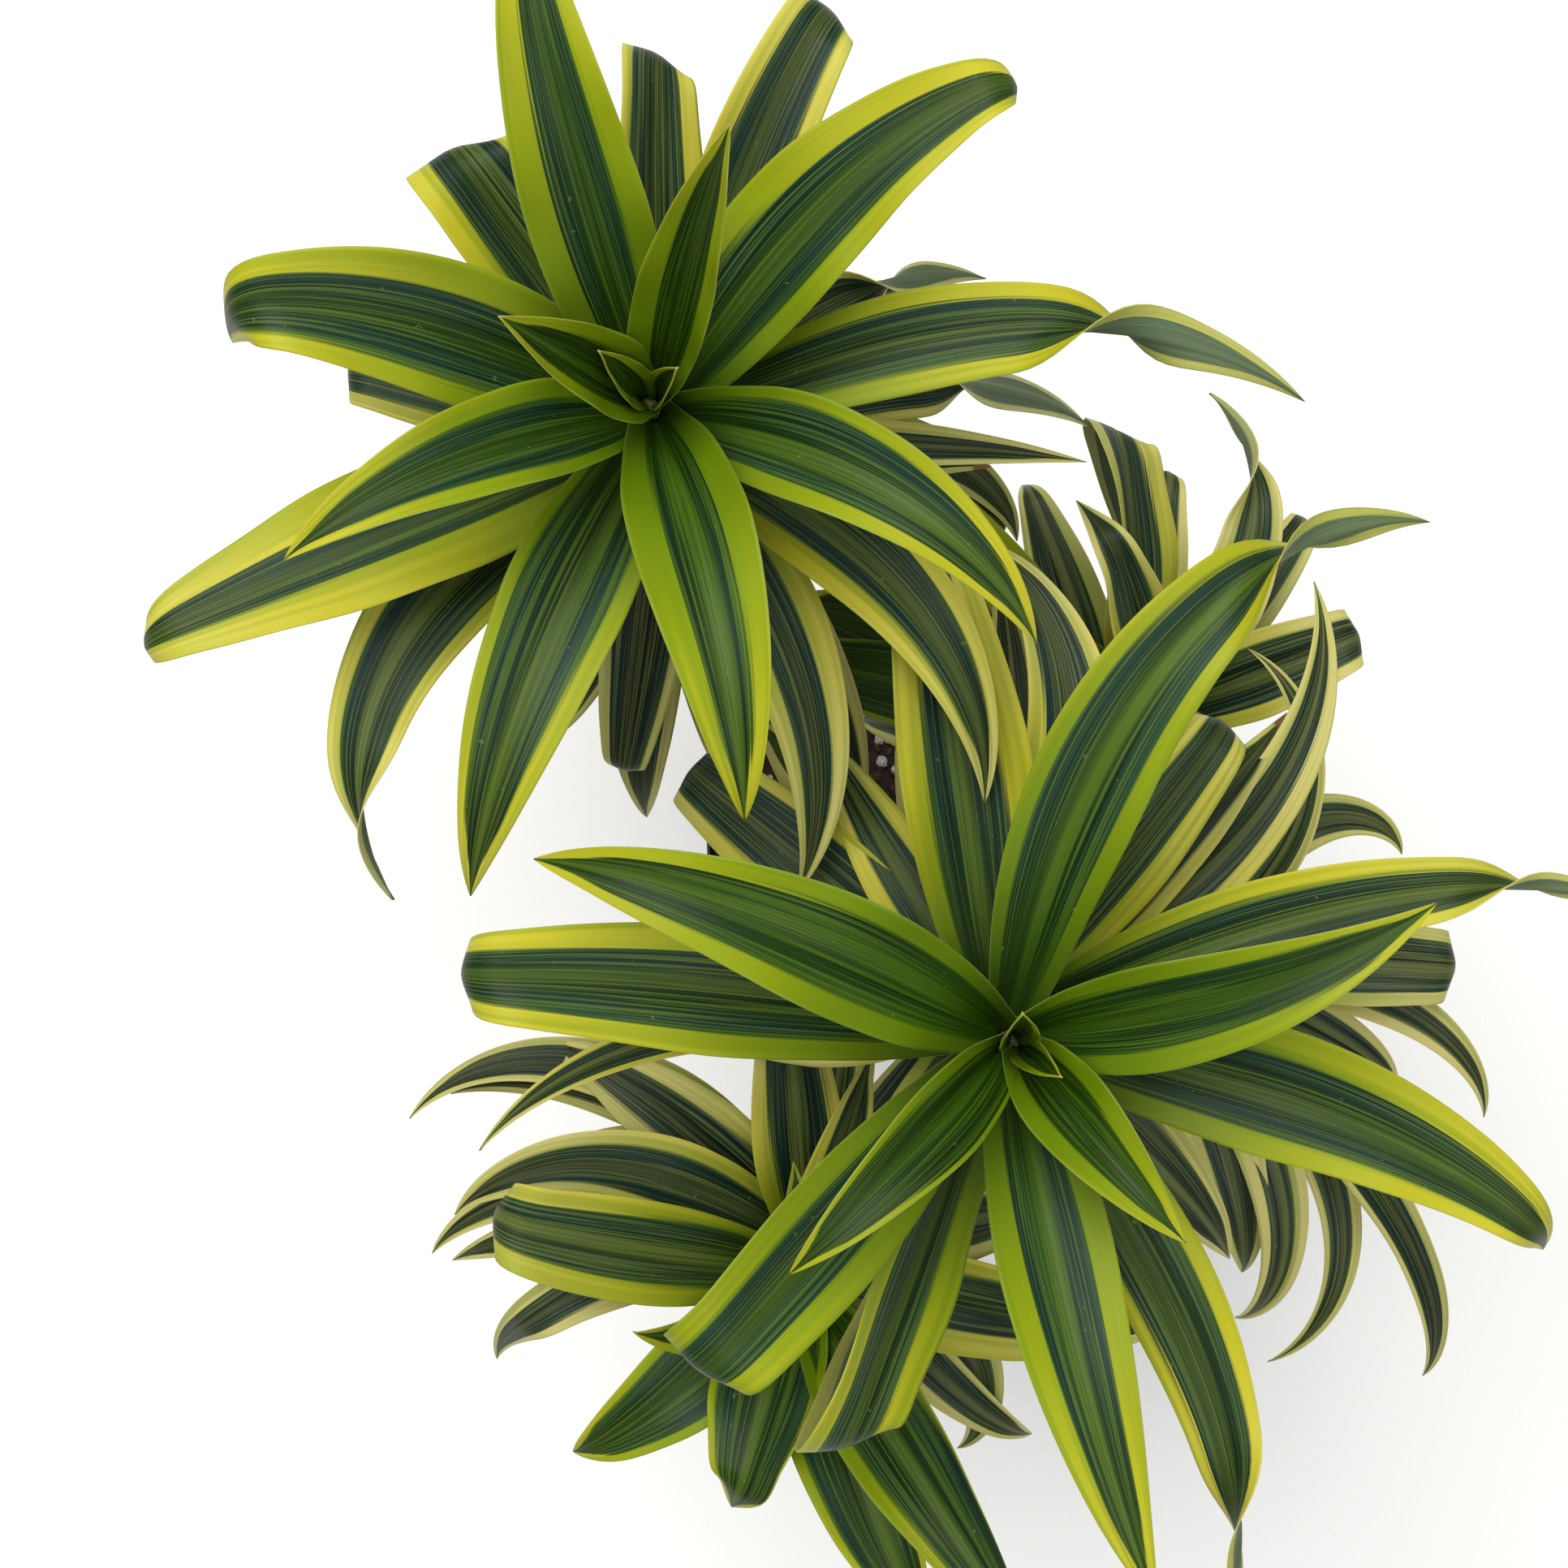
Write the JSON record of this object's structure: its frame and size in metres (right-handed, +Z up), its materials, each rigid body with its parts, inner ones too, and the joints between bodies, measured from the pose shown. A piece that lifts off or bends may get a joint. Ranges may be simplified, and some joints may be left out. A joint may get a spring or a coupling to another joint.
{
  "type": "potted song of india",
  "caption": "Potted variegated dracaena: rosettes of long striped leaves on bare leaning canes, rooted in soil in a plain tapered nursery pot.",
  "frame": {"origin": "middle of the pot's flat underside", "axes": "+Z up; the picture looks straight down with +Y towards its top edge and +X to its right"},
  "size_m": [0.453, 0.5389, 0.6137],
  "materials": {
    "pot": "satin",
    "soil": "matte",
    "cane": "matte",
    "foliage": "satin"
  },
  "bodies": {
    "root": {"pot": "pot", "soil": "soil", "cane_a": "cane", "cane_b": "cane", "cane_cd": "cane", "cane_e": "cane", "head_a": "foliage", "head_b": "foliage", "head_c": "foliage", "head_d": "foliage", "head_e": "foliage"}
  },
  "joints": []
}
